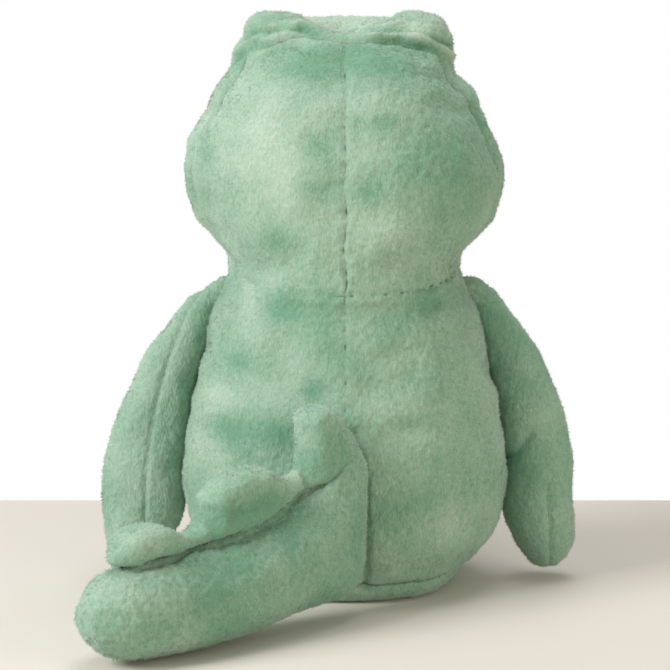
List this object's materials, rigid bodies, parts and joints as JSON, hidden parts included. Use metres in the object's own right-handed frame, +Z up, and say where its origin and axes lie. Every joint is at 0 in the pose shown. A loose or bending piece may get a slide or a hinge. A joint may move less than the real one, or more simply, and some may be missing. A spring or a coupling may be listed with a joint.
{
  "type": "plush crocodile",
  "caption": "Seated plush crocodile of sewn short-pile panels over soft filling, with a nodding head, swinging arms, lifting legs and a crested tail that swings.",
  "frame": {"origin": "middle of the flat seat that the toy sits on", "axes": "+Z up, +Y the way the toy faces, +X towards the toy's right side"},
  "size_m": [0.2265, 0.3103, 0.2693],
  "materials": {
    "plush": "short brushed pile, sage green",
    "filling": "loose fibre filling",
    "pouch_cloth": "plain woven liner",
    "eye_gloss": "polished dark dome",
    "washer_plastic": "moulded",
    "nostril_thread": "satin-stitched thread"
  },
  "bodies": {
    "torso": {"body_back_left": "plush", "body_back_right": "plush", "belly_panel": "plush", "base_panel": "plush", "body_stuffing": "filling", "pellet_pouch": "pouch_cloth"},
    "head": {"head_back_left": "plush", "head_back_right": "plush", "brow_panel_left": "plush", "brow_panel_right": "plush", "snout_top": "plush", "jaw_panel": "plush", "head_stuffing": "filling", "eye_left": "eye_gloss", "eye_right": "eye_gloss", "eye_washer_left": "washer_plastic", "eye_washer_right": "washer_plastic", "nostril_left": "nostril_thread", "nostril_right": "nostril_thread"},
    "arm_left": {"arm_left_outer": "plush", "arm_left_inner": "plush", "arm_left_stuffing": "filling"},
    "arm_right": {"arm_right_outer": "plush", "arm_right_inner": "plush", "arm_right_stuffing": "filling"},
    "leg_left": {"leg_left_outer": "plush", "leg_left_inner": "plush", "leg_left_sole": "plush", "leg_left_stuffing": "filling"},
    "leg_right": {"leg_right_outer": "plush", "leg_right_inner": "plush", "leg_right_sole": "plush", "leg_right_stuffing": "filling"},
    "tail": {"tail_left": "plush", "tail_right": "plush", "tail_stuffing": "filling", "crest_left": "plush", "crest_right": "plush", "crest_stuffing": "filling"}
  },
  "joints": [
    {"name": "neck_nod", "type": "hinge", "parent": "torso", "child": "head", "pos_m": [0, 0, 0.117], "axis": [-1, 0, 0], "range_deg": [-15, 20], "stiffness_Nm_per_rad": 0.8},
    {"name": "arm_left_swing", "type": "hinge", "parent": "torso", "child": "arm_left", "pos_m": [-0.05895, 0.005, 0.138], "axis": [1, 0, 0], "range_deg": [-35, 80]},
    {"name": "arm_right_swing", "type": "hinge", "parent": "torso", "child": "arm_right", "pos_m": [0.05895, 0.005, 0.138], "axis": [1, 0, 0], "range_deg": [-35, 80]},
    {"name": "leg_left_lift", "type": "hinge", "parent": "torso", "child": "leg_left", "pos_m": [-0.034, 0.07, 0.0403], "axis": [1, 0, 0], "range_deg": [0, 60]},
    {"name": "leg_right_lift", "type": "hinge", "parent": "torso", "child": "leg_right", "pos_m": [0.034, 0.07, 0.0403], "axis": [1, 0, 0], "range_deg": [0, 60]},
    {"name": "tail_swing", "type": "hinge", "parent": "torso", "child": "tail", "pos_m": [0, -0.076, 0.04], "axis": [0, 0, 1], "range_deg": [0, 90]}
  ]
}
